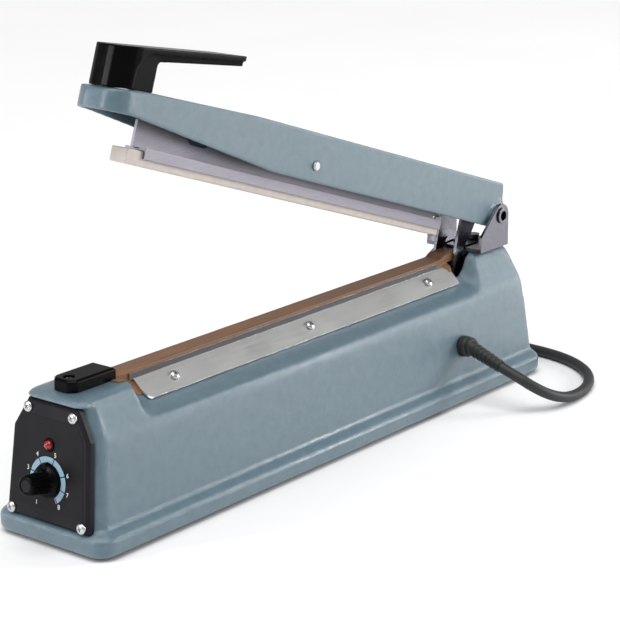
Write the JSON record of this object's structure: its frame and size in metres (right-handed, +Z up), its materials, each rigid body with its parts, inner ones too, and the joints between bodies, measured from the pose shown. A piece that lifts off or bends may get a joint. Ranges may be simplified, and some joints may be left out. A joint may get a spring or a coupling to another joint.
{
  "type": "impulse heat sealer",
  "caption": "Hand impulse heat sealer: cast base with a taped heating platen, timer dial and mains lead, and a sprung press arm with a handle and a rocking silicone-faced bar.",
  "frame": {"origin": "bottom centre of the object without its mains lead, on the surface the feet stand on", "axes": "+Z up, +Y along the base towards the hinge, +X to the right of an operator who faces the hinge"},
  "size_m": [0.2453, 0.4756, 0.2705],
  "materials": {
    "cast_paint": "blue-grey hammertone",
    "black_plastic": "gloss",
    "panel_plastic": "fine matt",
    "steel": "satin",
    "zinc": "zinc plated",
    "aluminium": "satin extruded",
    "brass": "plain",
    "copper": "enamelled winding",
    "element": "rolled ribbon",
    "ptfe": "PTFE-coated glass cloth",
    "glass_cloth": "glass cloth",
    "silicone": "smooth silicone",
    "rubber": "matt",
    "lens": "clear tinted",
    "board": "solder mask",
    "core": "laminated"
  },
  "bodies": {
    "base": {"base_casting": "cast_paint", "bottom_cover": "zinc", "foot_1": "rubber", "foot_screw_1": "steel", "foot_2": "rubber", "foot_screw_2": "steel", "foot_3": "rubber", "foot_screw_3": "steel", "foot_4": "rubber", "foot_screw_4": "steel", "transformer_core": "core", "transformer_coil": "copper", "microswitch_body": "black_plastic", "switch_bracket": "zinc", "platen_bar": "aluminium", "platen_insulation": "glass_cloth", "heating_element": "element", "front_terminal": "brass", "rear_terminal": "brass", "ptfe_cover": "ptfe", "side_plate_right": "steel", "side_plate_left": "steel", "side_plate_screw_right_1": "steel", "side_plate_screw_left_1": "steel", "side_plate_screw_right_2": "steel", "side_plate_screw_left_2": "steel", "side_plate_screw_right_3": "steel", "side_plate_screw_left_3": "steel", "front_cover": "black_plastic", "front_cover_screw": "steel", "hinge_bracket": "zinc", "bracket_bolt_1": "steel", "bracket_bolt_2": "steel", "hinge_pin": "steel", "lift_spring": "steel", "cord_gland": "rubber", "power_cord": "rubber", "power_cord_coil": "rubber", "power_cord_tail": "rubber", "power_plug": "black_plastic", "control_panel": "panel_plastic", "panel_screw_1": "steel", "panel_screw_2": "steel", "panel_screw_3": "steel", "panel_screw_4": "steel", "indicator_lens": "lens", "potentiometer": "zinc", "timer_board": "board"},
    "arm": {"press_arm": "cast_paint", "press_handle": "black_plastic", "handle_screw_1": "steel", "handle_screw_2": "steel", "lift_fork": "zinc", "press_bar_pivot": "steel"},
    "press_bar": {"press_bar": "aluminium", "silicone_strip": "silicone"},
    "knob": {"timer_knob": "black_plastic", "potentiometer_shaft": "aluminium"},
    "switch_button": {"microswitch_button": "lens"}
  },
  "joints": [
    {"name": "arm_hinge", "type": "hinge", "parent": "base", "child": "arm", "pos_m": [0, 0.19864, 0.1105], "axis": [1, 0, 0], "range_deg": [0, 19], "stiffness_Nm_per_rad": 3, "springref_deg": -68.75, "deforming": ["lift_spring"]},
    {"name": "press_bar_rock", "type": "hinge", "parent": "arm", "child": "press_bar", "pos_m": [0, 0.00592, 0.17802], "axis": [1, 0, 0], "range_deg": [-0.2, 0.2]},
    {"name": "timer_dial", "type": "hinge", "parent": "base", "child": "knob", "pos_m": [0, -0.20044, 0.038], "axis": [0, -0.994, 0.1093], "range_deg": [-135, 135]},
    {"name": "switch_press", "type": "slide", "parent": "base", "child": "switch_button", "axis": [0, 0, -1], "range_m": [0, 0.0015]}
  ],
  "couplings": [
    {"joint": "switch_press", "follows": "arm_hinge", "m_per_rad": 0.0045}
  ]
}
